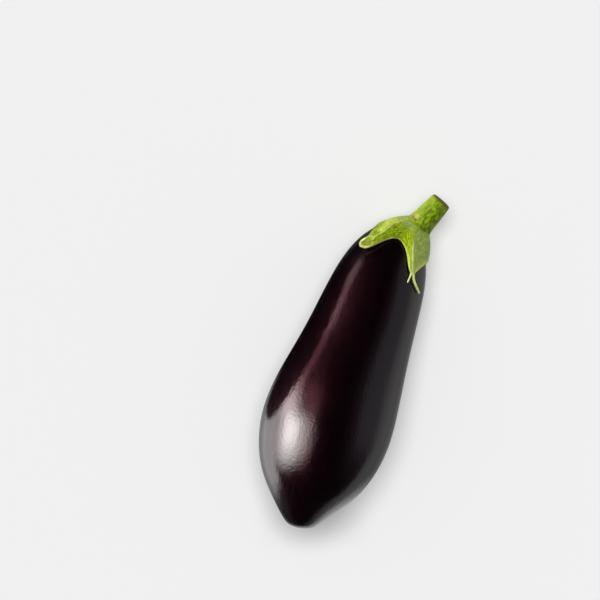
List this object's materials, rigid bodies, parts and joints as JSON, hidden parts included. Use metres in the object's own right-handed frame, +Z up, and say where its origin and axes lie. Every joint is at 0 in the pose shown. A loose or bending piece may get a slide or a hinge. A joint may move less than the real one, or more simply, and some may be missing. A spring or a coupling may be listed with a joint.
{
  "type": "eggplant",
  "caption": "Glossy dark purple eggplant as picked, lying on its side, with a lobed green calyx and a cut stem.",
  "frame": {"origin": "on the surface that the eggplant lies on, under the middle of its bounding box", "axes": "+Y from the blossom end to the stem, +Z up, +X to the right seen from above with the stem away from the viewer"},
  "size_m": [0.0806, 0.2206, 0.0796],
  "materials": {
    "fruit_skin": "taut waxy fruit skin, near-black purple, high gloss",
    "calyx_leaf": "leafy green with pale edges and darker veins, matte, faintly downy",
    "stem_rind": "green ribbed rind with brown corky marks and a dried brown cut face, matte"
  },
  "bodies": {
    "root": {"fruit": "fruit_skin", "calyx": "calyx_leaf", "stem": "stem_rind"}
  },
  "joints": []
}
